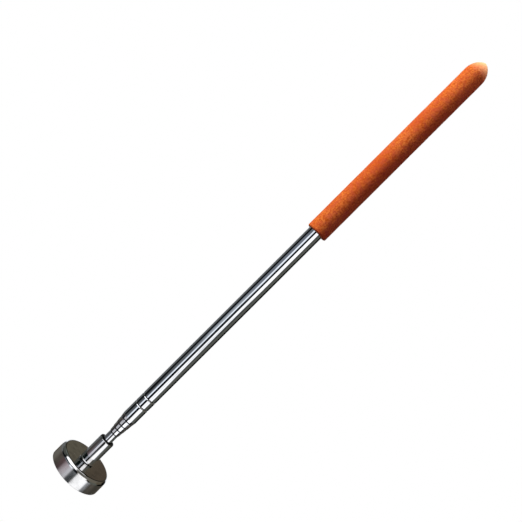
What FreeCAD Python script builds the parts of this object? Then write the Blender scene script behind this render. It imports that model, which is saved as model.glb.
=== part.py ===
# Telescopic magnetic pick-up tool: a round pot magnet on a ferrule, five nested tubes and a foam grip.
# The tool stands upright on its magnet. +Z runs along the shaft to the grip, and the origin is the
# centre of the magnet's pull face. The tubes are pushed fully together.
import FreeCAD, Part
import Sketcher
import os
import re

# name, millimetres, meaning
DIMENSIONS = [
    ("cup_radius", 18.0, "magnet pot, outside"),
    ("cup_height", 10.0, "magnet pot, pull face to back face"),
    ("cup_wall", 2.0, "pot side wall"),
    ("cup_back", 2.5, "pot back plate"),
    ("cup_bevel_across", 1.35, "back edge bevel, measured on the back face"),
    ("cup_bevel_along", 1.75, "back edge bevel, measured down the side"),
    ("cup_screw_hole", 2.75, "screw hole in the back plate"),
    ("ring_recess", 0.3, "ring magnet and bush stand back from the pull face"),
    ("ring_radius", 15.2, "ring magnet, outside"),
    ("ring_edge", 0.4, "ring magnet, edge chamfer"),
    ("resin_recess", 0.6, "resin stands back from the pull face"),
    ("bush_radius", 6.0, "centre bush, outside"),
    ("bush_hole", 2.65, "centre bush, screw hole"),
    ("screw_face", 0.6, "screw head, distance from the pull face"),
    ("screw_rim", 0.3, "screw head, straight edge above the cone"),
    ("screw_head_radius", 4.7, "screw head"),
    ("screw_radius", 2.5, "screw thread, outside"),
    ("screw_end", 18.7, "screw end"),
    ("screw_point", 0.6, "screw end chamfer"),
    ("recess_wide", 5.0, "cross recess, tip to tip"),
    ("recess_thick", 1.1, "cross recess, width of one wing"),
    ("recess_deep", 1.8, "cross recess, depth"),
    ("ferrule_radius", 5.15, "ferrule, outside"),
    ("ferrule_top", 27.7, "ferrule, upper face"),
    ("ferrule_round", 0.85, "ferrule, upper edge rounding"),
    ("ferrule_foot", 0.3, "ferrule, lower edge rounding"),
    ("ferrule_taper", 0.35, "ferrule, radius lost in the cone above the lower edge"),
    ("ferrule_taper_top", 1.15, "ferrule, top of that cone above the cup"),
    ("ferrule_thread_end", 19.2, "ferrule, end of the threaded hole"),
    ("ferrule_socket", 20.0, "ferrule, floor of the tube socket"),
    ("ferrule_dish", 0.32, "ferrule, depth that the upper face falls towards the tube"),
    ("tube_wall", 0.25, "all five tubes"),
    ("tube_rattle", 0.05, "gap between a rolled-in end and the tube that leaves it"),
    ("lip_edge", 0.03, "rolled-in end, flat left at the lip"),
    ("lip_rise", 0.5, "rolled-in end, height of the steep part at the lip"),
    ("outer_tube_radius", 5.10, "outer tube, outside"),
    ("outer_tube_low", 45.2, "outer tube, rolled-in end"),
    ("outer_tube_top", 343.0, "outer tube, plugged end"),
    ("outer_tube_nose", 2.2, "outer tube, length of the rolled-in end"),
    ("outer_tube_draw", 0.2, "outer tube, radius lost before the lip"),
    ("second_tube_radius", 4.64, "second tube, outside"),
    ("second_tube_low", 41.0, "second tube, rolled-in end"),
    ("second_tube_top", 322.0, "second tube, open end"),
    ("second_tube_nose", 3.8, "second tube, length of the rolled-in end"),
    ("second_tube_draw", 0.22, "second tube, radius lost before the lip"),
    ("third_tube_radius", 4.19, "third tube, outside"),
    ("third_tube_low", 37.3, "third tube, rolled-in end"),
    ("third_tube_top", 305.0, "third tube, open end"),
    ("third_tube_nose", 3.5, "third tube, length of the rolled-in end"),
    ("third_tube_draw", 0.22, "third tube, radius lost before the lip"),
    ("fourth_tube_radius", 3.72, "fourth tube, outside"),
    ("fourth_tube_low", 33.7, "fourth tube, rolled-in end"),
    ("fourth_tube_top", 288.0, "fourth tube, open end"),
    ("fourth_tube_nose", 3.4, "fourth tube, length of the rolled-in end"),
    ("fourth_tube_draw", 0.22, "fourth tube, radius lost before the lip"),
    ("inner_tube_radius", 3.17, "innermost tube, outside"),
    ("inner_tube_low", 20.0, "innermost tube, end in the ferrule"),
    ("inner_tube_top", 271.0, "innermost tube, open end"),
    ("lower_groove", 57.7, "outer tube, lower rolled groove"),
    ("upper_groove", 64.3, "outer tube, upper rolled groove"),
    ("groove_depth", 0.26, "rolled groove, depth outside"),
    ("groove_bulge", 0.16, "rolled groove, bulge inside"),
    ("groove_half", 0.5, "rolled groove, half width at the tube's surface"),
    ("groove_floor", 0.1, "rolled groove, half width at the bottom"),
    ("collar_length", 1.2, "plain end above the necked seat of the clips"),
    ("seat_length", 13.6, "necked seat of the clips"),
    ("clip_length", 13.0, "half shell clip"),
    ("clip_wall", 0.35, "half shell clip, thickness"),
    ("clip_outer_gap", 0.03, "clip to the bore it slides in"),
    ("clip_inner_gap", 0.02, "clip to the necked seat"),
    ("clip_chamfer", 0.12, "half shell clip, end chamfers"),
    ("clip_angle", 170.0, "half shell clip, degrees of the circle"),
    ("guide_gap", 0.3, "guide ring to each rolled groove"),
    ("guide_angle", 345.0, "guide ring, degrees of the circle"),
    ("plug_low", 335.0, "end plug, inner end"),
    ("plug_flange", 1.3, "end plug, flange thickness"),
    ("plug_wall", 1.2, "end plug, wall of its hollow"),
    ("plug_web", 2.0, "end plug, closed end under the flange"),
    ("grip_low", 208.4, "foam grip, open end"),
    ("grip_radius", 7.2, "foam grip, outside"),
    ("grip_aside", 0.5, "foam grip, distance of its outside from the tube's axis, along X"),
    ("grip_mouth", 0.5, "foam grip, edge rounding at the open end"),
    ("grip_shoulder", 344.8, "foam grip, start of the nose"),
    ("grip_tip", 355.8, "foam grip, end of the nose"),
    ("grip_arch", 12.3, "foam grip, radius of the nose's side arc"),
]
ALIASES = {alias for alias, _, _ in DIMENSIONS}

# outermost first: each tube carries the next one inside it
TUBES = ["outer_tube", "second_tube", "third_tube", "fourth_tube", "inner_tube"]
SIDES = [("a", 0.0), ("b", 180.0)]
FULL_TURN = 360.0

doc = FreeCAD.newDocument("PickUpTool")
sheet = doc.addObject("Spreadsheet::Sheet", "Dims")
for row, (alias, value, meaning) in enumerate(DIMENSIONS, start=1):
    sheet.set(f"A{row}", meaning)
    sheet.set(f"B{row}", str(value))
    sheet.setAlias(f"B{row}", alias)
doc.recompute()

subparts = []


def bound(expression):
    """The expression with each alias pointing at the sheet."""
    return re.sub(r"[a-z_]+", lambda m: "Dims." + m[0] if m[0] in ALIASES else m[0], expression)


def measure(expression):
    """The number that an expression has now."""
    value = sheet.evalExpression(bound(expression))
    return float(getattr(value, "Value", value))


def origin_item(body, role):
    return next(item for item in body.Origin.OriginFeatures if item.Role == role)


def new_body(label):
    body = doc.addObject("PartDesign::Body", label)
    body.Label = label
    subparts.append(body)
    return body


def hold(sketch, axis, geometry, point, expression):
    """Ties one coordinate of a sketch point to the sheet; a zero coordinate lies on the axis."""
    value = measure(expression)
    if abs(value) < 1e-9:
        across = {"X": -2, "Y": -1}[axis]
        sketch.addConstraint(Sketcher.Constraint("PointOnObject", geometry, point, across))
        return
    index = sketch.addConstraint(
        Sketcher.Constraint("Distance" + axis, -1, 1, geometry, point, value)
    )
    sketch.setExpression(f"Constraints[{index}]", bound(expression))


def draw_outline(sketch, corners):
    """A closed outline of corners (across, up). A corner with four entries starts an arc to the
    next corner, anticlockwise about (its third, its fourth)."""
    places = [FreeCAD.Vector(measure(c[0]), measure(c[1]), 0) for c in corners]
    arcs = [len(corner) == 4 for corner in corners]
    for index, corner in enumerate(corners):
        start, end = places[index], places[(index + 1) % len(places)]
        if not arcs[index]:
            sketch.addGeometry(Part.LineSegment(start, end), False)
            continue
        centre = FreeCAD.Vector(measure(corner[2]), measure(corner[3]), 0)
        circle = Part.Circle(centre, FreeCAD.Vector(0, 0, 1), (start - centre).Length)
        angles = [circle.parameter(place) for place in (start, end)]
        sketch.addGeometry(Part.ArcOfCircle(circle, *angles), False)
        hold(sketch, "X", index, 3, corner[2])
        hold(sketch, "Y", index, 3, corner[3])
    for index, corner in enumerate(corners):
        before = (index - 1) % len(corners)
        sketch.addConstraint(Sketcher.Constraint("Coincident", before, 2, index, 1))
        axes = "XY"
        if arcs[before]:
            centre = FreeCAD.Vector(measure(corners[before][2]), measure(corners[before][3]), 0)
            reach = places[index] - centre
            axes = "X" if abs(reach.x) < abs(reach.y) else "Y"
        for axis in axes:
            hold(sketch, axis, index, 1, corner["XY".index(axis)])


def spun(body, kind, name, corners, angle, aside):
    """A feature turned about an upright axis from an outline of (radius, height) corners."""
    sketch = body.newObject("Sketcher::SketchObject", name + "_outline")
    sketch.AttachmentSupport = (origin_item(body, "XZ_Plane"), [""])
    sketch.MapMode = "FlatFace"
    sketch.setExpression("AttachmentOffset.Base.x", bound(aside))
    draw_outline(sketch, corners)
    feature = body.newObject("PartDesign::" + kind, name)
    feature.Profile = sketch
    feature.ReferenceAxis = (sketch, ["V_Axis"])
    feature.Midplane = True
    feature.setExpression("Angle", bound(angle))


def turned(label, corners, angle="360", aside="0"):
    """A body turned about Z, or about an axis set aside along X."""
    body = new_body(label)
    spun(body, "Revolution", label + "_turn", corners, angle, aside)
    return body


def bored(body, name, corners):
    """A hole turned about Z, cut out of the body."""
    spun(body, "Groove", name, corners, "360", "0")


def cut_rectangle(body, name, height, wide, thick, deep):
    """A centred rectangular pocket cut upwards from a level of the body."""
    sketch = body.newObject("Sketcher::SketchObject", name + "_outline")
    sketch.AttachmentSupport = (origin_item(body, "XY_Plane"), [""])
    sketch.MapMode = "FlatFace"
    sketch.setExpression("AttachmentOffset.Base.z", bound(height))
    right, back = f"{wide} / 2", f"{thick} / 2"
    left, front = f"-{wide} / 2", f"-{thick} / 2"
    draw_outline(sketch, [(left, front), (right, front), (right, back), (left, back)])
    pocket = body.newObject("PartDesign::Pocket", name)
    pocket.Profile = sketch
    pocket.Reversed = True
    pocket.setExpression("Length", bound(deep))


def groove_outside(level):
    """The outside of a rolled groove, from below to above."""
    surface = "outer_tube_radius"
    floor = f"{surface} - groove_depth"
    return [
        (surface, f"{level} - groove_half"),
        (floor, f"{level} - groove_floor"),
        (floor, f"{level} + groove_floor"),
        (surface, f"{level} + groove_half"),
    ]


def groove_inside(level):
    """The bulge that a rolled groove leaves in the bore, from above to below."""
    bore = "outer_tube_radius - tube_wall"
    crest = f"{bore} - groove_bulge"
    return [
        (bore, f"{level} + groove_half"),
        (crest, f"{level} + groove_floor"),
        (crest, f"{level} - groove_floor"),
        (bore, f"{level} - groove_half"),
    ]


def clip_outside(carrier):
    """The radius of the clips that slide in a carrier's bore."""
    return f"{carrier}_radius - tube_wall - clip_outer_gap"


def seat_radius(carrier):
    return f"{clip_outside(carrier)} - clip_wall - clip_inner_gap"


def rolled_end(tube, carried):
    """The lower end of a tube, rolled in onto the tube that it carries: (inside, outside) corners."""
    lip = f"{carried}_radius + tube_rattle"
    shoulder = f"{tube}_low + {tube}_nose"
    steep = f"{tube}_low + lip_rise"
    inside = [(f"{tube}_radius - tube_wall", shoulder), (lip, steep), (lip, f"{tube}_low")]
    outside = [
        (f"{lip} + lip_edge", f"{tube}_low"),
        (f"{tube}_radius - {tube}_draw", steep),
        (f"{tube}_radius", shoulder),
    ]
    return inside, outside


def seated_end(tube, carrier):
    """The upper end of a tube, necked in for its clips: (outside going up, inside going down)."""
    surface, bore = f"{tube}_radius", f"{tube}_radius - tube_wall"
    seat = seat_radius(carrier)
    seat_top = f"{tube}_top - collar_length"
    seat_low = f"{seat_top} - seat_length"
    outside = [
        (surface, seat_low),
        (seat, seat_low),
        (seat, seat_top),
        (surface, seat_top),
        (surface, f"{tube}_top"),
    ]
    inside = [
        (bore, f"{tube}_top"),
        (bore, f"{seat_top} + tube_wall"),
        (f"{seat} - tube_wall", f"{seat_top} + tube_wall"),
        (f"{seat} - tube_wall", f"{seat_low} - tube_wall"),
        (bore, f"{seat_low} - tube_wall"),
    ]
    return outside, inside


# magnet end
turned(
    "magnet_cup",
    [
        ("cup_radius - cup_wall", "0"),
        ("cup_radius", "0"),
        ("cup_radius", "cup_height - cup_bevel_along"),
        ("cup_radius - cup_bevel_across", "cup_height"),
        ("cup_screw_hole", "cup_height"),
        ("cup_screw_hole", "cup_height - cup_back"),
        ("cup_radius - cup_wall", "cup_height - cup_back"),
    ],
)
turned(
    "magnet_ring",
    [
        ("bush_radius", "ring_recess"),
        ("ring_radius - ring_edge", "ring_recess"),
        ("ring_radius", "ring_recess + ring_edge"),
        ("ring_radius", "cup_height - cup_back"),
        ("bush_radius", "cup_height - cup_back"),
    ],
)
turned(
    "potting_ring",
    [
        ("ring_radius", "resin_recess + ring_edge"),
        ("cup_radius - cup_wall", "resin_recess"),
        ("cup_radius - cup_wall", "cup_height - cup_back"),
        ("ring_radius", "cup_height - cup_back"),
    ],
)
# the screw head's cone falls at 45 degrees, so height and radius change together
cone_start = "screw_face + screw_rim"
turned(
    "centre_bush",
    [
        ("screw_head_radius", "ring_recess"),
        ("bush_radius", "ring_recess"),
        ("bush_radius", "cup_height - cup_back"),
        ("bush_hole", "cup_height - cup_back"),
        ("bush_hole", f"{cone_start} + screw_head_radius - bush_hole"),
        ("screw_head_radius", cone_start),
    ],
)
head_screw = turned(
    "head_screw",
    [
        ("0", "screw_face"),
        ("screw_head_radius", "screw_face"),
        ("screw_head_radius", cone_start),
        ("screw_radius", f"{cone_start} + screw_head_radius - screw_radius"),
        ("screw_radius", "screw_end - screw_point"),
        ("screw_radius - screw_point", "screw_end"),
        ("0", "screw_end"),
    ],
)
doc.recompute()
solid_head = head_screw.Shape.Volume
cut_rectangle(head_screw, "wing_x", "screw_face", "recess_wide", "recess_thick", "recess_deep")
cut_rectangle(head_screw, "wing_y", "screw_face", "recess_thick", "recess_wide", "recess_deep")
doc.recompute()
wings = 2 * measure("recess_wide * recess_thick") - measure("recess_thick ^ 2")
if abs(solid_head - head_screw.Shape.Volume - wings * measure("recess_deep")) > 0.01:
    raise SystemExit("the cross recess isn't cut as drawn")
turned(
    "ferrule",
    [
        (
            "ferrule_radius - ferrule_taper - ferrule_foot",
            "cup_height",
            "ferrule_radius - ferrule_taper - ferrule_foot",
            "cup_height + ferrule_foot",
        ),
        ("ferrule_radius - ferrule_taper", "cup_height + ferrule_foot"),
        ("ferrule_radius", "cup_height + ferrule_taper_top"),
        (
            "ferrule_radius",
            "ferrule_top - ferrule_round",
            "ferrule_radius - ferrule_round",
            "ferrule_top - ferrule_round",
        ),
        ("ferrule_radius - ferrule_round", "ferrule_top"),
        ("inner_tube_radius", "ferrule_top - ferrule_dish"),
        ("inner_tube_radius", "ferrule_socket"),
        ("0", "ferrule_socket"),
        ("0", "ferrule_thread_end"),
        ("screw_radius", "ferrule_thread_end"),
        ("screw_radius", "cup_height"),
    ],
)

# tubes, outermost first
for tube in TUBES:
    place = TUBES.index(tube)
    if tube == TUBES[-1]:
        inside = [(f"{tube}_radius - tube_wall", f"{tube}_low")]
        outside = [(f"{tube}_radius", f"{tube}_low")]
    else:
        inside, outside = rolled_end(tube, TUBES[place + 1])
    if tube == TUBES[0]:
        outside += groove_outside("lower_groove") + groove_outside("upper_groove")
        outside.append((f"{tube}_radius", f"{tube}_top"))
        inner_top = [(f"{tube}_radius - tube_wall", f"{tube}_top")]
        inner_top += groove_inside("upper_groove") + groove_inside("lower_groove")
    else:
        upper, inner_top = seated_end(tube, TUBES[place - 1])
        outside += upper
    turned(tube, outside + inner_top + inside)

# two sprung half shells on each inner tube, sliding in the tube around it
for carrier, tube in zip(TUBES, TUBES[1:]):
    clip_top = f"{tube}_top - collar_length - (seat_length - clip_length) / 2"
    clip_low = f"{clip_top} - clip_length"
    face = clip_outside(carrier)
    for side, heading in SIDES:
        clip = turned(
            f"{tube.replace('_tube', '')}_clip_{side}",
            [
                (f"{face} - clip_wall", clip_low),
                (f"{face} - clip_chamfer", clip_low),
                (face, f"{clip_low} + clip_chamfer"),
                (face, f"{clip_top} - clip_chamfer"),
                (f"{face} - clip_chamfer", clip_top),
                (f"{face} - clip_wall", clip_top),
            ],
            "clip_angle",
        )
        clip.Placement.Rotation = FreeCAD.Rotation(FreeCAD.Vector(0, 0, 1), heading)

guide_low = "lower_groove + groove_half + guide_gap"
guide_top = "upper_groove - groove_half - guide_gap"
turned(
    "guide_ring",
    [
        ("second_tube_radius + tube_rattle", guide_low),
        ("outer_tube_radius - tube_wall", guide_low),
        ("outer_tube_radius - tube_wall", guide_top),
        ("second_tube_radius + tube_rattle", guide_top),
    ],
    "guide_angle",
)

# handle end
plug_side = "outer_tube_radius - tube_wall"
turned(
    "end_plug",
    [
        (f"{plug_side} - plug_wall", "plug_low"),
        (plug_side, "plug_low"),
        (plug_side, "outer_tube_top"),
        ("outer_tube_radius", "outer_tube_top"),
        ("outer_tube_radius", "outer_tube_top + plug_flange"),
        ("0", "outer_tube_top + plug_flange"),
        ("0", "outer_tube_top + plug_flange - plug_web"),
        (f"{plug_side} - plug_wall", "outer_tube_top + plug_flange - plug_web"),
    ],
)
# the nose's side is one arc, tangent to the grip, that ends at a small flat at the tip
arch_centre = "grip_radius - grip_arch"
tip_flat = f"{arch_centre} + sqrt(grip_arch ^ 2 - (grip_tip - grip_shoulder) ^ 2)"
foam_grip = turned(
    "foam_grip",
    [
        ("0", "grip_low"),
        (
            "grip_radius - grip_mouth",
            "grip_low",
            "grip_radius - grip_mouth",
            "grip_low + grip_mouth",
        ),
        ("grip_radius", "grip_low + grip_mouth"),
        ("grip_radius", "grip_shoulder", arch_centre, "grip_shoulder"),
        (tip_flat, "grip_tip"),
        ("0", "grip_tip"),
    ],
    aside="grip_aside",
)
bored(
    foam_grip,
    "foam_grip_bore",
    [
        ("0", "grip_low"),
        ("outer_tube_radius", "grip_low"),
        ("outer_tube_radius", "outer_tube_top + plug_flange"),
        ("0", "outer_tube_top + plug_flange"),
    ],
)

doc.recompute()
for item in doc.Objects:
    if {"Invalid", "Error"} & set(item.State):
        raise SystemExit(f"{item.Name} failed: {item.State}")
for body in subparts:
    if body.Shape.isNull() or not body.Shape.isValid() or len(body.Shape.Solids) != 1:
        raise SystemExit(f"{body.Label} isn't one valid solid")

os.makedirs("parts", exist_ok=True)
for body in subparts:
    body.Shape.exportStep(f"parts/{body.Label}.step")
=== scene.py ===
"""Looks for the telescopic magnetic pick-up tool, built round its CAD frame."""
import math

import bpy
from mathutils import Matrix, Vector, noise


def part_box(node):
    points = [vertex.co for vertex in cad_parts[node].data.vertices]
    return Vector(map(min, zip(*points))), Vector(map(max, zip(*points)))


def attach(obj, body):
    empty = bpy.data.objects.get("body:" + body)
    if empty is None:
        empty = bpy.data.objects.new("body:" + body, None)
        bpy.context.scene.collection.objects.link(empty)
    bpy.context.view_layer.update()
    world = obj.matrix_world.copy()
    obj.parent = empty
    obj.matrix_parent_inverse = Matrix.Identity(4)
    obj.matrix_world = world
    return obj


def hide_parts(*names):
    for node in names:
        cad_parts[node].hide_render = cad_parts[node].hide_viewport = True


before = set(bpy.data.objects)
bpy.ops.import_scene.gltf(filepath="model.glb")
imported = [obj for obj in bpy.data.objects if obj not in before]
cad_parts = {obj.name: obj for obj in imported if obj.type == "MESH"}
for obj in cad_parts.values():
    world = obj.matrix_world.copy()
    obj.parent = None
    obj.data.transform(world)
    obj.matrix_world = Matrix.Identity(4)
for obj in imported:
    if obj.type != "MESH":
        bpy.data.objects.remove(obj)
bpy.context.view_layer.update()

MM = 0.001


# ---------- camera: level with the middle of the tool, rolled so that the shaft runs up to the right

SHAFT_TILT = math.radians(44.9)  # the shaft's angle above the picture's horizontal
LENS_MM = 43.45
SENSOR_MM = 36.0
CAMERA_AT = Vector((-11.29, -387.45, 172.29)) * MM


def place_camera():
    data = bpy.data.cameras.new("camera")
    data.lens = LENS_MM
    data.sensor_width = SENSOR_MM
    camera = bpy.data.objects.new("camera", data)
    bpy.context.scene.collection.objects.link(camera)
    right = Vector((math.sin(SHAFT_TILT), 0, math.cos(SHAFT_TILT)))
    up = Vector((-math.cos(SHAFT_TILT), 0, math.sin(SHAFT_TILT)))
    turn = Matrix((right, up, right.cross(up))).transposed()
    camera.matrix_world = Matrix.Translation(CAMERA_AT) @ turn.to_4x4()
    bpy.context.scene.camera = camera


# ---------- small helpers for shader graphs


def linear(rgb):
    """8-bit display colour to linear RGBA, by the sRGB curve."""
    def one(v):
        v /= 255.0
        return v / 12.92 if v <= 0.04045 else ((v + 0.055) / 1.055) ** 2.4
    return (*map(one, rgb), 1.0)


def scaled(colour, factor):
    """A linear colour made brighter or darker."""
    return [v * factor for v in colour[:3]] + [1.0]


class Graph:
    """A node tree with short calls."""

    def __init__(self, tree):
        self.tree = tree
        tree.nodes.clear()

    def add(self, kind, inputs=None, **settings):
        node = self.tree.nodes.new(kind)
        for name, value in settings.items():
            setattr(node, name, value)
        for key, value in (inputs or {}).items():
            self.feed(node.inputs[key], value)
        return node

    def feed(self, socket, value):
        if isinstance(value, bpy.types.NodeSocket):
            self.tree.links.new(value, socket)
        else:
            socket.default_value = value

    def math(self, operation, *values):
        return self.add("ShaderNodeMath", dict(enumerate(values)), operation=operation).outputs[0]

    def remap(self, value, low, high, to_low=0.0, to_high=1.0, smooth=False):
        kind = "SMOOTHSTEP" if smooth else "LINEAR"
        inputs = {"Value": value, "From Min": low, "From Max": high,
                  "To Min": to_low, "To Max": to_high}
        return self.add("ShaderNodeMapRange", inputs, interpolation_type=kind, clamp=True).outputs[0]

    def mix(self, factor, one, two):
        node = self.add("ShaderNodeMix", data_type="RGBA")
        for socket, value in zip((node.inputs[0], node.inputs[6], node.inputs[7]), (factor, one, two)):
            self.feed(socket, value)
        return node.outputs[2]


# ---------- studio: white to the eye, soft boxes and dark flags in reflections

ROOM = (88, 79, 66)
WHITE = (1.0, 1.0, 1.0, 1.0)
SHINE = 1.26  # the panels are a little brighter than their colours say
SOFTEST = 4  # a panel's upper and lower edges are at most this soft, in degrees
AMBIENT = (0.085, 0.018, 0.055, 1.0)  # what matt surfaces receive from above
AMBIENT_BELOW = 0.15  # the share of it that they receive from below
AMBIENT_FROM, AMBIENT_TO = -50, 30  # degrees of elevation from one to the other

# what stands round the tool, later ones in front of earlier ones:
# (azimuth from, to) in degrees from -Y towards +X, (elevation from, to), soft edge, colour
PANELS = [
    ((-180, 180), (-50, 18.5), 2, (12, 11, 10)),  # dark, all round
    ((165, 178.3), (19, 33), 2.5, (70, 62, 52)),  # wall behind the tool, browner on the +X side
    ((178.3, 190), (19, 33), 2.5, (82, 78, 67)),
    ((-190, -170), (19, 33), 2.5, (82, 78, 67)),
    ((-173, -152), (-36, 17), 6, (236, 240, 244)),  # two soft boxes behind the tool
    ((152, 173), (-36, 17), 6, (236, 240, 244)),
    ((64, 116), (-50, 44), 9, (80, 82, 76)),  # right wall
    ((104, 152), (-20, 38), 9, (8, 8, 6)),  # right flag
    ((104, 152), (-50, -20), 12, (42, 42, 38)),
    ((-156, -100), (-50, 18), 8, (96, 98, 98)),  # left wall
    ((-100, -36), (-50, 10), 8, (104, 110, 119)),  # left screen
    ((-60, -36), (-9.5, -3), 9, (152, 158, 163)),
    ((-72, -46), (-50, -9), 9, (86, 89, 91)),
    ((-80, -58), (-17, -13), 8, (40, 42, 44)),
    ((-104, -72), (-20, 44), 7, (6, 7, 9)),  # left flag
    ((-102, -64), (-50, -20), 12, (60, 56, 52)),
    ((-116, -36), (6, 38), 8, (5, 13, 13)),  # dark above the left screen
    ((-36, -15), (-50, 12), 6, (230, 237, 245)),  # left strip box
    ((-28, -11), (-22.4, -19.6), 6, (205, 202, 204)),
    ((10, 52), (-50, 44), 5, (255, 255, 255)),  # window
    ((43, 58), (-9.5, -3), 5, (62, 66, 69)),
    ((48, 58), (-12.5, -9.5), 5, (92, 96, 99)),
    ((50, 59), (-50, -13.2), 5, (250, 252, 255)),
    ((-36, -15), (12, 31), 6, (156, 161, 168)),  # the strip box's dimmer upper part
    ((28, 33), (-17, -5), 3, (176, 188, 198)),  # glazing bar
    ((-14, 4), (-50, 44), 4, (4, 9, 16)),  # camera and its stand
    ((-20, 4), (-9.5, -3), 4, (4, 12, 20)),
    ((-19, 9), (-18.8, -8.5), 4, (1, 4, 12)),
    ((-34, -10), (-22.75, -21.9), 1, (168, 170, 176)),
    ((-9.5, 17), (-22.4, -18.8), 5, (5, 7, 10)),
    ((-180, 180), (-25.0, -22.7), 0.4, (80, 75, 68)),  # low down: the bench edge and what lies on it
    ((100, 150), (-25.0, -22.7), 24, (54, 52, 46)),
    ((-150, -112), (-25.0, -22.7), 18, (96, 94, 88)),
    ((-80, -44), (-25.0, -22.7), 20, (90, 68, 72)),
    ((-60, -40), (-25.0, -22.7), 14, (120, 97, 104)),
    ((-46, -16), (-25.0, -22.7), 14, (172, 160, 168)),
    ((-30, -16), (-25.0, -22.7), 10, (186, 190, 197)),
    ((10, 64), (-25.0, -22.7), 7, (276, 279, 282)),
    ((59, 76), (-25.0, -22.7), 16, (168, 172, 178)),
    ((-16, 8), (-25.0, -22.7), 8, (110, 117, 122)),
    ((-180, 180), (-36, -25.0), 0.6, (60, 58, 56)),  # lower still: what the rolled-in ends reflect
    ((-100, -54), (-36, -25.0), 14, (36, 35, 36)),
    ((-58, -15), (-36, -25.0), 16, (182, 182, 186)),
    ((10, 61), (-36, -25.0), 6, (275, 276, 278)),
    ((61, 86), (-36, -25.0), 8, (24, 24, 22)),
    ((-15, 8), (-36, -25.0), 5, (4, 6, 9)),
    ((-180, 180), (34, 90), 5, (16, 15, 13)),  # overhead
    ((-150, -88), (14, 76), 14, (70, 72, 68)),
    ((-80, -36), (37, 60), 10, (272, 274, 276)),  # skylight
    ((-165, -104), (36, 72), 10, (106, 114, 108)),
    ((-78, -4), (46, 60), 10, (278, 280, 282)),
    ((-2, 70), (44, 60), 8, (94, 93, 88)),
    ((42, 84), (34, 60), 8, (102, 101, 96)),
    ((-112, 62), (60, 72), 8, (262, 264, 266)),  # strip light
    ((68, 160), (24, 62), 14, (92, 88, 78)),
    ((100, 168), (11, 26), 10, (80, 74, 62)),
    ((-180, 180), (-90, -36), 3, (4, 4, 4)),  # table
    ((-178, -128), (-78, -36), 8, (190, 194, 198)),  # pale cloths lying on it, behind the tool
    ((128, 178), (-78, -36), 8, (190, 194, 198)),
]


DEGREES = 180 / math.pi  # in one radian
WHOLE_ROUND = 360


def light_world():
    world = bpy.data.worlds.new("studio")
    bpy.context.scene.world = world
    world.use_nodes = True
    g = Graph(world.node_tree)
    heading = g.add("ShaderNodeTexCoord").outputs["Generated"]
    x, y, z = g.add("ShaderNodeSeparateXYZ", {0: heading}).outputs
    turn = g.math("ARCTAN2", x, g.math("MULTIPLY", y, -1.0))
    azimuth = g.math("MULTIPLY", turn, DEGREES)
    elevation = g.math("MULTIPLY", g.math("ARCSINE", z), DEGREES)

    def between(angle, low, high, soft):
        half = soft / 2
        enter = g.remap(angle, low - half, low + half, smooth=True)
        leave = g.remap(angle, high - half, high + half, 1.0, 0.0, smooth=True)
        return g.math("MULTIPLY", enter, leave)

    shiny = linear(ROOM)
    for (left, right), (low, high), soft, colour in PANELS:
        mask = between(elevation, low, high, min(soft, SOFTEST))
        if right - left < WHOLE_ROUND:
            mask = g.math("MULTIPLY", mask, between(azimuth, left, right, soft))
        shiny = g.mix(mask, shiny, scaled(linear(colour), SHINE))
    path = g.add("ShaderNodeLightPath").outputs
    rise = g.remap(elevation, AMBIENT_FROM, AMBIENT_TO)
    matt = g.mix(rise, scaled(AMBIENT, AMBIENT_BELOW), AMBIENT)
    seen = g.mix(path["Is Diffuse Ray"], shiny, matt)
    seen = g.mix(path["Is Camera Ray"], seen, WHITE)
    background = g.add("ShaderNodeBackground", {"Color": seen, "Strength": 1.0})
    g.add("ShaderNodeOutputWorld", {"Surface": background.outputs[0]})


MIDDLE, TIP = (0.0, 0.0, 0.2), (0.0, 0.0, 0.36)
LIGHTS = [  # name, azimuth, elevation, distance, size, watts, colour, what it points at
    ("key", -72, 34, 1.4, (0.7, 0.9), 27.4, (1.0, 1.0, 0.98), MIDDLE),
    ("rim", 40, 4, 1.4, (0.4, 0.9), 1.7, (0.6, 0.36, 1.0), MIDDLE),
    ("back", 170, 20, 1.4, (0.5, 0.9), 14.0, (1.0, 1.0, 1.0), MIDDLE),
    ("tip", 20, 68, 0.04, (0.02, 0.02), 0.02, (0.85, 0.95, 1.0), TIP),
]


def area_light(name, azimuth, elevation, distance, size, power, colour, target):
    """A soft light that only matt surfaces show."""
    data = bpy.data.lights.new(name, "AREA")
    data.shape = "RECTANGLE"
    data.size, data.size_y = size
    data.energy = power
    data.color = colour
    light = bpy.data.objects.new(name, data)
    bpy.context.scene.collection.objects.link(light)
    a, e = math.radians(azimuth), math.radians(elevation)
    away = Vector((math.sin(a) * math.cos(e), -math.cos(a) * math.cos(e), math.sin(e)))
    light.location = Vector(target) + away * distance
    light.rotation_euler = away.to_track_quat("Z", "Y").to_euler()
    light.visible_glossy = False
    light.visible_camera = False


FLOOR_HALF = 2.5  # metres


def floor():
    mesh = bpy.data.meshes.new("floor")
    signs = [(-1, -1), (1, -1), (1, 1), (-1, 1)]
    corners = [(x * FLOOR_HALF, y * FLOOR_HALF, 0) for x, y in signs]
    mesh.from_pydata(corners, [], [(0, 1, 2, 3)])
    plane = bpy.data.objects.new("floor", mesh)
    bpy.context.scene.collection.objects.link(plane)
    material = bpy.data.materials.new("floor_white")
    material.use_nodes = True
    g = Graph(material.node_tree)
    glow = g.add("ShaderNodeEmission", {"Color": WHITE, "Strength": 1.0})
    g.add("ShaderNodeOutputMaterial", {"Surface": glow.outputs[0]})
    mesh.materials.append(material)
    plane.visible_glossy = False
    plane.visible_diffuse = False
    plane.visible_shadow = False


# ---------- turned pieces

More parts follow.
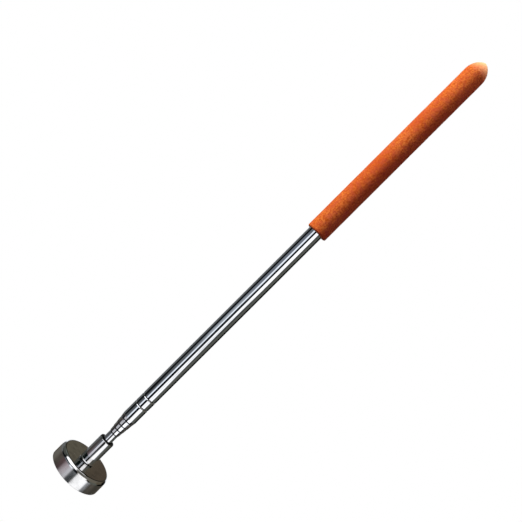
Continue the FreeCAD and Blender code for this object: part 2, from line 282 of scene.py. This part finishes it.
STRAIGHT = math.radians(1)  # a corner that turns less than this stays as it is
EDGE_SHARE = 0.42  # the most of an edge that the rounding at one of its ends may take
LEAD_SHARE = 0.3  # a point this far before and after each rounding keeps the flats flat
ARC_STEP = math.radians(14)
CREASE = math.radians(25)
ON_AXIS = 1e-6  # a ring smaller than this is one point


def rounded(corners):
    """Points along a closed outline of (radius, height, rounding) corners, in millimetres."""
    points = []
    count = len(corners)
    for i, (radius, height, rounding) in enumerate(corners):
        here = Vector((radius, height))
        before = Vector(corners[i - 1][:2]) - here
        after = Vector(corners[(i + 1) % count][:2]) - here
        turn = math.pi - before.angle(after)
        if rounding <= 0 or turn < STRAIGHT:
            points.append(here)
            continue
        most = EDGE_SHARE * min(before.length, after.length)
        cut = min(rounding * math.tan(turn / 2), most)
        radius_now = cut / math.tan(turn / 2)
        start, end = here + before.normalized() * cut, here + after.normalized() * cut
        middle = (before.normalized() + after.normalized()).normalized()
        centre = here + middle * (radius_now / math.cos(turn / 2))
        lead = LEAD_SHARE * cut
        points.append(start + before.normalized() * lead)
        steps = max(2, math.ceil(turn / ARC_STEP))
        first, last = start - centre, end - centre
        sweep = first.angle_signed(last)
        for k in range(steps + 1):
            spin = Matrix.Rotation(-sweep * k / steps, 2)
            points.append(centre + spin @ first)
        points.append(end + after.normalized() * lead)
    return points


def lathe(name, outline, material, body, nodes, segments, shift=None):
    """A closed body of revolution about Z from points (radius, height) in millimetres.
    shift(index, point) may move a point, given as a Vector (x, y, z) in millimetres."""
    vertices, rings, faces = [], [], []
    for index, (radius, height) in enumerate(outline):
        count = 1 if radius < ON_AXIS else segments
        rings.append(range(len(vertices), len(vertices) + count))
        for k in range(count):
            angle = 2 * math.pi * k / segments
            point = Vector((radius * math.cos(angle), radius * math.sin(angle), height))
            if shift:
                point = shift(index, point)
            vertices.append(point * MM)
    for lower, upper in zip(rings, rings[1:] + rings[:1]):
        if len(lower) == 1 and len(upper) == 1:
            continue
        for k in range(segments):
            j = (k + 1) % segments
            below = [lower[k % len(lower)], lower[j % len(lower)]]
            above = [upper[j % len(upper)], upper[k % len(upper)]]
            faces.append(list(dict.fromkeys(below + above)))
    mesh = bpy.data.meshes.new(name)
    mesh.from_pydata(vertices, [], faces)
    mesh.shade_smooth()
    mesh.set_sharp_from_angle(angle=CREASE)
    mesh.materials.append(material)
    piece = bpy.data.objects.new(name, mesh)
    bpy.context.scene.collection.objects.link(piece)
    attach(piece, body)
    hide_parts(*nodes)
    return piece


def span(node):
    """Outside radius, low end and high end of a node, in millimetres."""
    low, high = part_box(node)
    radius = max(high[0], high[1], -low[0], -low[1])
    return round(radius / MM, 2), round(low[2] / MM, 2), round(high[2] / MM, 2)


# ---------- materials: texture scales are in waves per metre, depths and lengths in millimetres

DRAWN = (1, 1, 0.02)  # drawn marks are fifty times as long as wide
GROUND = (1, 0.04, 1)  # ground marks are 25 times as long as wide
DRAWN_FINE, TURNED_FINE, GROUND_FINE = 5200, 6500, 3000
MARK_DEPTH, MARK_ROUGH = 0.004, 0.03
CLOUD_DEPTH, CLOUD_STRENGTH = 0.02, 0.25
# painted shade inside the ferrule's socket mouth: its dark colour, its roughness and the width of its
# soft edge
SOCKET_SHADE_COLOUR, SOCKET_SHADE_ROUGH, SOCKET_SHADE_EDGE = (14, 13, 12), 0.5, 0.08
# a ring of painted shade on the nickel where the bevel meets the back face: its colour and how much of
# it shows
BEVEL_SHADE_COLOUR, BEVEL_SHADE_SHARE = (40, 38, 34), 0.8
BEVEL_SHADE_IN, BEVEL_SHADE_OUT = 0.4, 0.2  # widths of the soft edges of the ring of painted shade


def new_material(name):
    material = bpy.data.materials.new(name)
    material.use_nodes = True
    g = Graph(material.node_tree)
    shader = g.add("ShaderNodeBsdfPrincipled")
    g.add("ShaderNodeOutputMaterial", {"Surface": shader.outputs[0]})
    place = g.add("ShaderNodeTexCoord").outputs["Object"]
    return material, g, shader, place


def split(g, place):
    return g.add("ShaderNodeSeparateXYZ", {0: place}).outputs


def turned_place(g, place):
    """(distance from the axis, height, 0): the same all round, like a lathe's marks."""
    x, y, z = split(g, place)
    flat = g.add("ShaderNodeCombineXYZ", {0: x, 1: y}).outputs[0]
    out = g.add("ShaderNodeVectorMath", {0: flat}, operation="LENGTH").outputs["Value"]
    return g.add("ShaderNodeCombineXYZ", {0: out, 1: z}).outputs[0]


def stretched(g, place, scale):
    inputs = {"Vector": place, "Scale": scale}
    return g.add("ShaderNodeMapping", inputs, vector_type="POINT").outputs[0]


def grain(g, place, scale, detail, roughness=0.5):
    inputs = {"Vector": place, "Scale": scale, "Detail": detail, "Roughness": roughness}
    return g.add("ShaderNodeTexNoise", inputs).outputs[0]


def bumped(g, height, strength, depth, under=None):
    inputs = {"Height": height, "Strength": strength, "Distance": depth * MM}
    if under is not None:
        inputs["Normal"] = under
    return g.add("ShaderNodeBump", inputs).outputs[0]


def two_tone(g, factor, colour, gain):
    """From a colour to the same colour made brighter or darker, in display values."""
    return g.mix(factor, linear(colour), linear([gain * c for c in colour]))


def polished_metal(name, colour, roughness, marks, smudge=0.05, drawn=False, fade=0.93, spread=140,
                   socket_shade_r=None, bevel_shade=None):
    """Plated metal: faint tool marks (drawn along the shaft or turned about it), smudges, tiny pits.
    Inside the distance given for the socket mouth, a dark colour is painted from the axis out as shade,
    in place of the plating. The ring given for the bevel is painted shade, darker: its inner and outer
    radius, and the height that it lies above."""
    material, g, shader, place = new_material(name)
    if drawn:
        lines = grain(g, stretched(g, place, DRAWN), DRAWN_FINE, 3)
    else:
        lines = grain(g, turned_place(g, place), TURNED_FINE, 3)
    cloud = grain(g, place, spread, 4)
    patch = g.remap(cloud, 0.45, 0.75)
    shade = two_tone(g, patch, colour, fade)
    rough = g.math("MULTIPLY_ADD", patch, smudge, roughness)
    # painted shade: inside this distance from the axis the plating gives way to a dark colour, as shade
    # in the socket mouth
    if socket_shade_r:
        out = split(g, turned_place(g, place))[0]
        outside_socket_shade = g.remap(out, socket_shade_r * MM, (socket_shade_r + SOCKET_SHADE_EDGE) * MM)
        shade = g.mix(outside_socket_shade, linear(SOCKET_SHADE_COLOUR), shade)
        rough = g.math("MULTIPLY_ADD", g.math("SUBTRACT", 1.0, outside_socket_shade), SOCKET_SHADE_ROUGH, rough)
    # painted shade: a darker ring where the bevel meets the back face
    if bevel_shade:
        low, high, level = [v * MM for v in bevel_shade]
        out, up, _ = split(g, turned_place(g, place))
        enter = g.remap(out, low, low + BEVEL_SHADE_IN * MM)
        leave = g.remap(out, high - BEVEL_SHADE_OUT * MM, high, 1.0, 0.0)
        bevel_shade_ring = g.math("MULTIPLY", enter, leave)
        bevel_shade_ring = g.math("MULTIPLY", bevel_shade_ring, g.math("GREATER_THAN", up, level))
        shade = g.mix(g.math("MULTIPLY", bevel_shade_ring, BEVEL_SHADE_SHARE), shade, linear(BEVEL_SHADE_COLOUR))
    g.feed(shader.inputs["Base Color"], shade)
    shader.inputs["Metallic"].default_value = 1.0
    g.feed(shader.inputs["Roughness"], g.math("MULTIPLY_ADD", lines, MARK_ROUGH, rough))
    wave = bumped(g, cloud, CLOUD_STRENGTH, CLOUD_DEPTH)
    g.feed(shader.inputs["Normal"], bumped(g, lines, marks, MARK_DEPTH, wave))
    return material


def ground_ceramic(name, colour):
    material, g, shader, place = new_material(name)
    cuts = grain(g, stretched(g, place, GROUND), GROUND_FINE, 4)
    specks = grain(g, place, 2600, 5, 0.7)
    g.feed(shader.inputs["Base Color"], two_tone(g, g.remap(specks, 0.35, 0.7), colour, 1.9))
    g.feed(shader.inputs["Roughness"], g.remap(cuts, 0.3, 0.7, 0.42, 0.62))
    rough = bumped(g, specks, 0.5, 0.04)
    g.feed(shader.inputs["Normal"], bumped(g, cuts, 0.6, 0.03, rough))
    return material


def plain_solid(name, colour, scale, gain, shine, strength, depth):
    """One grain that moves the colour, the roughness (from, to, low, high) and the surface a little."""
    material, g, shader, place = new_material(name)
    fine = grain(g, place, scale, 3)
    g.feed(shader.inputs["Base Color"], two_tone(g, fine, colour, gain))
    g.feed(shader.inputs["Roughness"], g.remap(fine, *shine))
    g.feed(shader.inputs["Normal"], bumped(g, fine, strength, depth))
    return material


FOAM_DEEP, FOAM_BRIGHT = (204, 90, 26), (246, 138, 62)  # fine patches
FOAM_CLOUD, FOAM_BLUSH = (206, 80, 24), (214, 92, 62)  # large clouds, smaller blotches
FOAM_PORE_SHADE, FOAM_PAINTED_HIGHLIGHT = (120, 34, 10), (252, 208, 152)  # painted shade in the pores, and the painted highlight on the end
HIGHLIGHT_FROM, HIGHLIGHT_TO = 347.5, 358.5  # heights between which the painted highlight on the end comes in
HIGHLIGHT_RAGGED = 4  # how far the fine patches move that edge
SHEEN_TINT = (1.0, 0.8, 0.62, 1.0)


def foam_rubber(name):
    """Closed-cell foam: pores with painted shade in them, patchy colour and a painted highlight that
    turns the end pale.
    """
    material, g, shader, place = new_material(name)
    cells = g.add("ShaderNodeTexVoronoi", {"Vector": place, "Scale": 1700.0, "Randomness": 1.0})
    pore = g.remap(cells.outputs["Distance"], 0.0, 0.45)
    patches = grain(g, place, 950, 3, 0.6)
    clouds = grain(g, place, 60, 3)
    shade = g.mix(g.remap(patches, 0.4, 0.6), linear(FOAM_DEEP), linear(FOAM_BRIGHT))
    shade = g.mix(g.remap(clouds, 0.35, 0.65, 0.0, 0.6), shade, linear(FOAM_CLOUD))
    blush = grain(g, place, 330, 2)
    shade = g.mix(g.remap(blush, 0.42, 0.68, 0.0, 0.5), shade, linear(FOAM_BLUSH))
    # painted shade in the pores: darker towards the centres of the pits
    shade = g.mix(g.remap(pore, 0.0, 0.5, 0.45, 0.0), shade, linear(FOAM_PORE_SHADE))
    up = split(g, place)[2]
    # painted highlight: the foam turns pale towards the top of the end
    painted_highlight = g.math("MULTIPLY_ADD", patches, HIGHLIGHT_RAGGED * MM, up)
    shade = g.mix(g.remap(painted_highlight, HIGHLIGHT_FROM * MM, HIGHLIGHT_TO * MM, 0.0, 0.85), shade, linear(FOAM_PAINTED_HIGHLIGHT))
    g.feed(shader.inputs["Base Color"], shade)
    g.feed(shader.inputs["Roughness"], g.remap(patches, 0.3, 0.7, 0.7, 0.9))
    shader.inputs["Specular IOR Level"].default_value = 0.3
    shader.inputs["Sheen Weight"].default_value = 0.06
    shader.inputs["Sheen Roughness"].default_value = 0.5
    shader.inputs["Sheen Tint"].default_value = SHEEN_TINT
    rough = bumped(g, patches, 0.5, 0.3)
    g.feed(shader.inputs["Normal"], bumped(g, pore, 0.6, 0.15, rough))
    return material


# ---------- magnet head: outlines are (radius, height, rounding) corners in millimetres

EDGE = 0.06  # the small rounding that plain turned edges have
BEVEL_HIGH, BEVEL_WIDE = 1.75, 1.35  # the pot's back edge
POT_HOLE_R = 2.75
RING_CHAMFER = 0.4
RESIN_FILLET = 0.4  # how far the resin's flat lies above its low edge at the pot's wall
BY_RING = [(0.0, 0.0), (0.12, 0.1), (0.4, 0.16)]  # the resin's surface, from the ring's wall
BY_WALL = [(-0.25, 0.02), (-0.08, -0.16)]  # and from the pot's wall
BUSH_HOLE_R, SEAT_R, SEAT_Z = 2.65, 4.7, 0.9  # the countersunk seat of the screw
FOOT_IN, FOOT_HIGH, FOOT_SHOULDER = 0.35, 0.3, 1.15  # the ferrule's necked foot
MOUTH_IN, MOUTH_DISH = 0.85, 0.32  # its rounded, dished mouth
SOCKET_FLOOR = 20.0  # the innermost tube stands on this
SCREW_BORE_R, SCREW_BORE_TOP = 2.5, 19.2


def magnet_head(nickel, ferrite, resin, brass, chrome):
    cup_r, cup_z, cup_top = span("magnet_cup")
    ring_r, ring_z, ring_top = span("magnet_ring")
    bush_r = span("centre_bush")[0]
    wall_r, resin_z, _ = span("potting_ring")
    outline = rounded([
        (wall_r, cup_z, 0.12), (cup_r, cup_z, 0.18), (cup_r, cup_top - BEVEL_HIGH, 1.6),
        (cup_r - BEVEL_WIDE, cup_top, 1.2), (POT_HOLE_R, cup_top, EDGE), (POT_HOLE_R, ring_top, 0),
        (wall_r, ring_top, 0),
    ])
    lathe("pot_shell", outline, nickel, "magnet_end", ["magnet_cup"], 192)
    outline = rounded([
        (bush_r, ring_z, 0.1), (ring_r - RING_CHAMFER, ring_z, 0.15),
        (ring_r, ring_z + RING_CHAMFER, 0.15), (ring_r, ring_top, 0), (bush_r, ring_top, 0),
    ])
    lathe("ferrite_ring", outline, ferrite, "magnet_end", ["magnet_ring"], 128)
    low = resin_z + RESIN_FILLET
    outline = [(ring_r + out, low + up) for out, up in BY_RING]
    outline += [(wall_r + out, low + up) for out, up in BY_WALL]
    outline += [(wall_r, resin_z), (wall_r, ring_top), (ring_r, ring_top)]
    lathe("resin_fill", outline, resin, "magnet_end", ["potting_ring"], 128)
    outline = rounded([
        (SEAT_R, ring_z, 0.12), (bush_r, ring_z, 0.08), (bush_r, ring_top, 0),
        (BUSH_HOLE_R, ring_top, 0), (BUSH_HOLE_R, SEAT_Z + SEAT_R - BUSH_HOLE_R, 0),
        (SEAT_R, SEAT_Z, 0),
    ])
    lathe("bush_turned", outline, brass, "magnet_end", ["centre_bush"], 96)

    ferrule_r, ferrule_z, ferrule_top = span("ferrule")
    tube_r = span("inner_tube")[0]
    foot_r = ferrule_r - FOOT_IN
    outline = rounded([
        (foot_r, ferrule_z, 0.3), (foot_r, ferrule_z + FOOT_HIGH, 0.1),
        (ferrule_r, ferrule_z + FOOT_SHOULDER, 0.4), (ferrule_r, ferrule_top, 0.85),
        (ferrule_r - MOUTH_IN, ferrule_top, 0.1), (tube_r, ferrule_top - MOUTH_DISH, 0.1),
        (tube_r, SOCKET_FLOOR, 0), (0, SOCKET_FLOOR, 0), (0, SCREW_BORE_TOP, 0),
        (SCREW_BORE_R, SCREW_BORE_TOP, 0), (SCREW_BORE_R, ferrule_z, 0),
    ])
    lathe("ferrule_turned", outline, chrome, "magnet_end", ["ferrule"], 128)


# ---------- tubes

WALL = 0.25
RATTLE = 0.05
TUBES = [  # node, body, slot, length of the rolled-in end, radius lost before its lip
    ("outer_tube", "handle", "outer_chrome", 2.2, 0.2),
    ("second_tube", "second_section", "tube_chrome", 3.8, 0.22),
    ("third_tube", "third_section", "tube_chrome", 3.5, 0.22),
    ("fourth_tube", "fourth_section", "tube_chrome", 3.4, 0.22),
    ("inner_tube", "magnet_end", "tube_chrome", 0.0, 0.0),
]
LIP_EDGE, LIP_RISE = 0.03, 0.7
GROOVES = (57.7, 64.3)  # heights of the outer tube's rolled grooves
GROOVE_OUTSIDE = [(0, -0.6, 0.1), (-0.29, -0.15, 0.08), (-0.29, -0.1, 0.08), (0, 0.55, 0.15)]
GROOVE_INSIDE = [(0, 0.5, 0.25), (-0.16, 0, 0.2), (0, -0.5, 0.25)]
COLLAR, SEAT = 1.2, 13.6  # above the clips' seat, and the seat itself
SEAT_GAPS = 0.03 + 0.35 + 0.02  # bore to clip, clip, clip to seat


def moved(corners, radius, height):
    return [(radius + out, height + up, rounding) for out, up, rounding in corners]


def nested_tubes(chrome):
    for place, (node, body, slot, nose, draw) in enumerate(TUBES):
        radius, low, top = span(node)
        bore = radius - WALL
        if nose:
            lip = span(TUBES[place + 1][0])[0] + RATTLE
            steep = low + LIP_RISE
            inside = [(bore, low + nose, 0.6), (lip, steep, 0.2), (lip, low, 0.015)]
            outside = [(lip + LIP_EDGE, low, 0.04), (radius - draw, steep, 0.3),
                       (radius, low + nose, 6.0)]
        else:
            inside, outside = [(bore, low, 0)], [(radius, low, 0)]
        if place == 0:
            for level in GROOVES:
                outside += moved(GROOVE_OUTSIDE, radius, level)
            outside.append((radius, top, 0))
            inner_top = [(bore, top, 0)]
            for level in reversed(GROOVES):
                inner_top += moved(GROOVE_INSIDE, bore, level)
        else:
            seat = span(TUBES[place - 1][0])[0] - WALL - SEAT_GAPS
            high = top - COLLAR
            start = high - SEAT
            outside += [(radius, start, EDGE), (seat, start, EDGE), (seat, high, EDGE),
                        (radius, high, EDGE), (radius, top, EDGE)]
            inner_top = [(bore, top, EDGE), (bore, high + WALL, EDGE), (seat - WALL, high + WALL, EDGE),
                         (seat - WALL, start - WALL, EDGE), (bore, start - WALL, EDGE)]
        outline = rounded(outside + inner_top + inside)
        lathe(node + "_drawn", outline, chrome, body, [node], 128)


# ---------- grip

FOAM_R, FOAM_ASIDE = 7.2, 0.5  # the foam's outside lies a little beside the tube's axis
SHOULDER, ARCH = 344.8, 12.3  # where the bullet nose starts, and the rounding of its sides
NOSE_STEPS, MOUTH_STEPS, SIDE_STEP = 44, 5, 0.3
MOUTH = 1.0  # rounding of the open end
MOUTH_BEVEL = 0.4
END_GAP, END_STEP = 0.02, 0.27  # the open end's flat, from the tube outwards
END_BLEND = 1.2  # over this width the open end goes from the tube's axis to the foam's
NOSE_SHARES = (0.66, 0.33, 0.0)  # rings on the nose's flat tip
NOSE_CENTRE = 3  # the nose's texture points away from here, below the shoulder
CELL, PORE_DEPTH, PORE_REACH = 0.75, 0.09, 0.42
LUMPS = [(0.035, 2.2), (0.05, 9.0)]  # height, width
SUNK = 0.06  # the skin is drawn in by this before its lumps are added


def foam_skin(tube_r, low, top):
    """Points (radius, height) of the foam's outside, from the tube up to the tip."""
    end = [(tube_r + END_GAP + END_STEP * k, low) for k in range(4)]
    mouth, nose = [], []
    for k in range(MOUTH_STEPS + 1):
        a = math.pi / 2 * k / MOUTH_STEPS
        mouth.append((FOAM_R - MOUTH + MOUTH * math.sin(a), low + MOUTH - MOUTH * math.cos(a)))
    start = mouth[-1][1]
    count = round((SHOULDER - start) / SIDE_STEP)
    side = [(FOAM_R, start + (SHOULDER - start) * k / count) for k in range(1, count)]
    swing = math.asin((top - SHOULDER) / ARCH)
    for k in range(NOSE_STEPS + 1):
        a = swing * k / NOSE_STEPS
        nose.append((FOAM_R - ARCH + ARCH * math.cos(a), SHOULDER + ARCH * math.sin(a)))
    tip = [(nose[-1][0] * share, top) for share in NOSE_SHARES]
    return end + mouth + side + nose + tip


def foam_handle(foam):
    _, low, top = span("foam_grip")
    tube_r = span("outer_tube")[0]
    plug_top = span("end_plug")[2]
    skin = foam_skin(tube_r, low, top)
    inner = [(0, plug_top), (tube_r, plug_top), (tube_r, low + MOUTH_BEVEL)]

    def shift(index, point):
        if index < 1 or index >= len(skin):
            return point
        share = 1.0
        if point.z < low + MOUTH:
            share = max(0.0, min(1.0, (math.hypot(point.x, point.y) - tube_r) / END_BLEND))
        beside = Vector((FOAM_ASIDE * share, 0, 0))
        if index == len(skin) - 1:
            return point + beside
        cell = noise.voronoi(point / CELL)[0][0]
        pores = -PORE_DEPTH * max(0.0, PORE_REACH - cell) / PORE_REACH
        lumps = sum(height * noise.noise(point / width) for height, width in LUMPS)
        if point.z < SHOULDER:
            out = Vector((point.x, point.y, 0)).normalized()
        else:
            out = (point - Vector((0, 0, SHOULDER - NOSE_CENTRE))).normalized()
        return point + beside + out * (pores + lumps - SUNK)

    piece = lathe("grip_foam", skin + inner, foam, "handle", ["foam_grip"], 176, shift)


# ---------- small pieces that keep their CAD shape


def dress_cad_nodes(looks):
    for node, material in looks.items():
        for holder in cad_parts[node].material_slots:
            holder.material = material


place_camera()
bpy.context.scene.view_settings.view_transform = "Standard"
light_world()
for light in LIGHTS:
    area_light(*light)
floor()

CHROME = polished_metal("chrome_plate", (236, 237, 240), 0.025, 0.25, drawn=True)
# the ferrule gets painted shade in its socket mouth, inside 4.8 mm from the axis
FERRULE = polished_metal("ferrule_plate", (232, 232, 234), 0.035, 0.3, socket_shade_r=4.8)
# the nickel gets a ring of painted shade where its bevel meets the back face
NICKEL = polished_metal("nickel_plate", (236, 235, 235), 0.07, 0.35, 0.08, fade=0.86, spread=190,
                        bevel_shade=(15.9, 16.8, 9.6))
BRASS = polished_metal("turned_brass", (212, 170, 96), 0.22, 0.8, 0.15)
BRONZE = polished_metal("spring_bronze", (200, 140, 88), 0.28, 0.6, 0.15)
ZINC = polished_metal("zinc_screw", (190, 192, 196), 0.26, 0.8, 0.15)
FERRITE = ground_ceramic("ground_ferrite", (44, 44, 47))
RESIN = plain_solid("black_resin", (22, 22, 24), 420, 1.6, (0.3, 0.8, 0.12, 0.3), 0.5, 0.2)
PLUG = plain_solid("plug_plastic", (40, 40, 42), 3500, 1.25, (0.3, 0.7, 0.45, 0.6), 0.4, 0.03)
FOAM = foam_rubber("orange_foam")

magnet_head(NICKEL, FERRITE, RESIN, BRASS, FERRULE)
nested_tubes(CHROME)
foam_handle(FOAM)
clips = [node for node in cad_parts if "_clip_" in node]
sprung = dict.fromkeys(clips + ["guide_ring"], BRONZE)
dress_cad_nodes({"head_screw": ZINC, "end_plug": PLUG, **sprung})
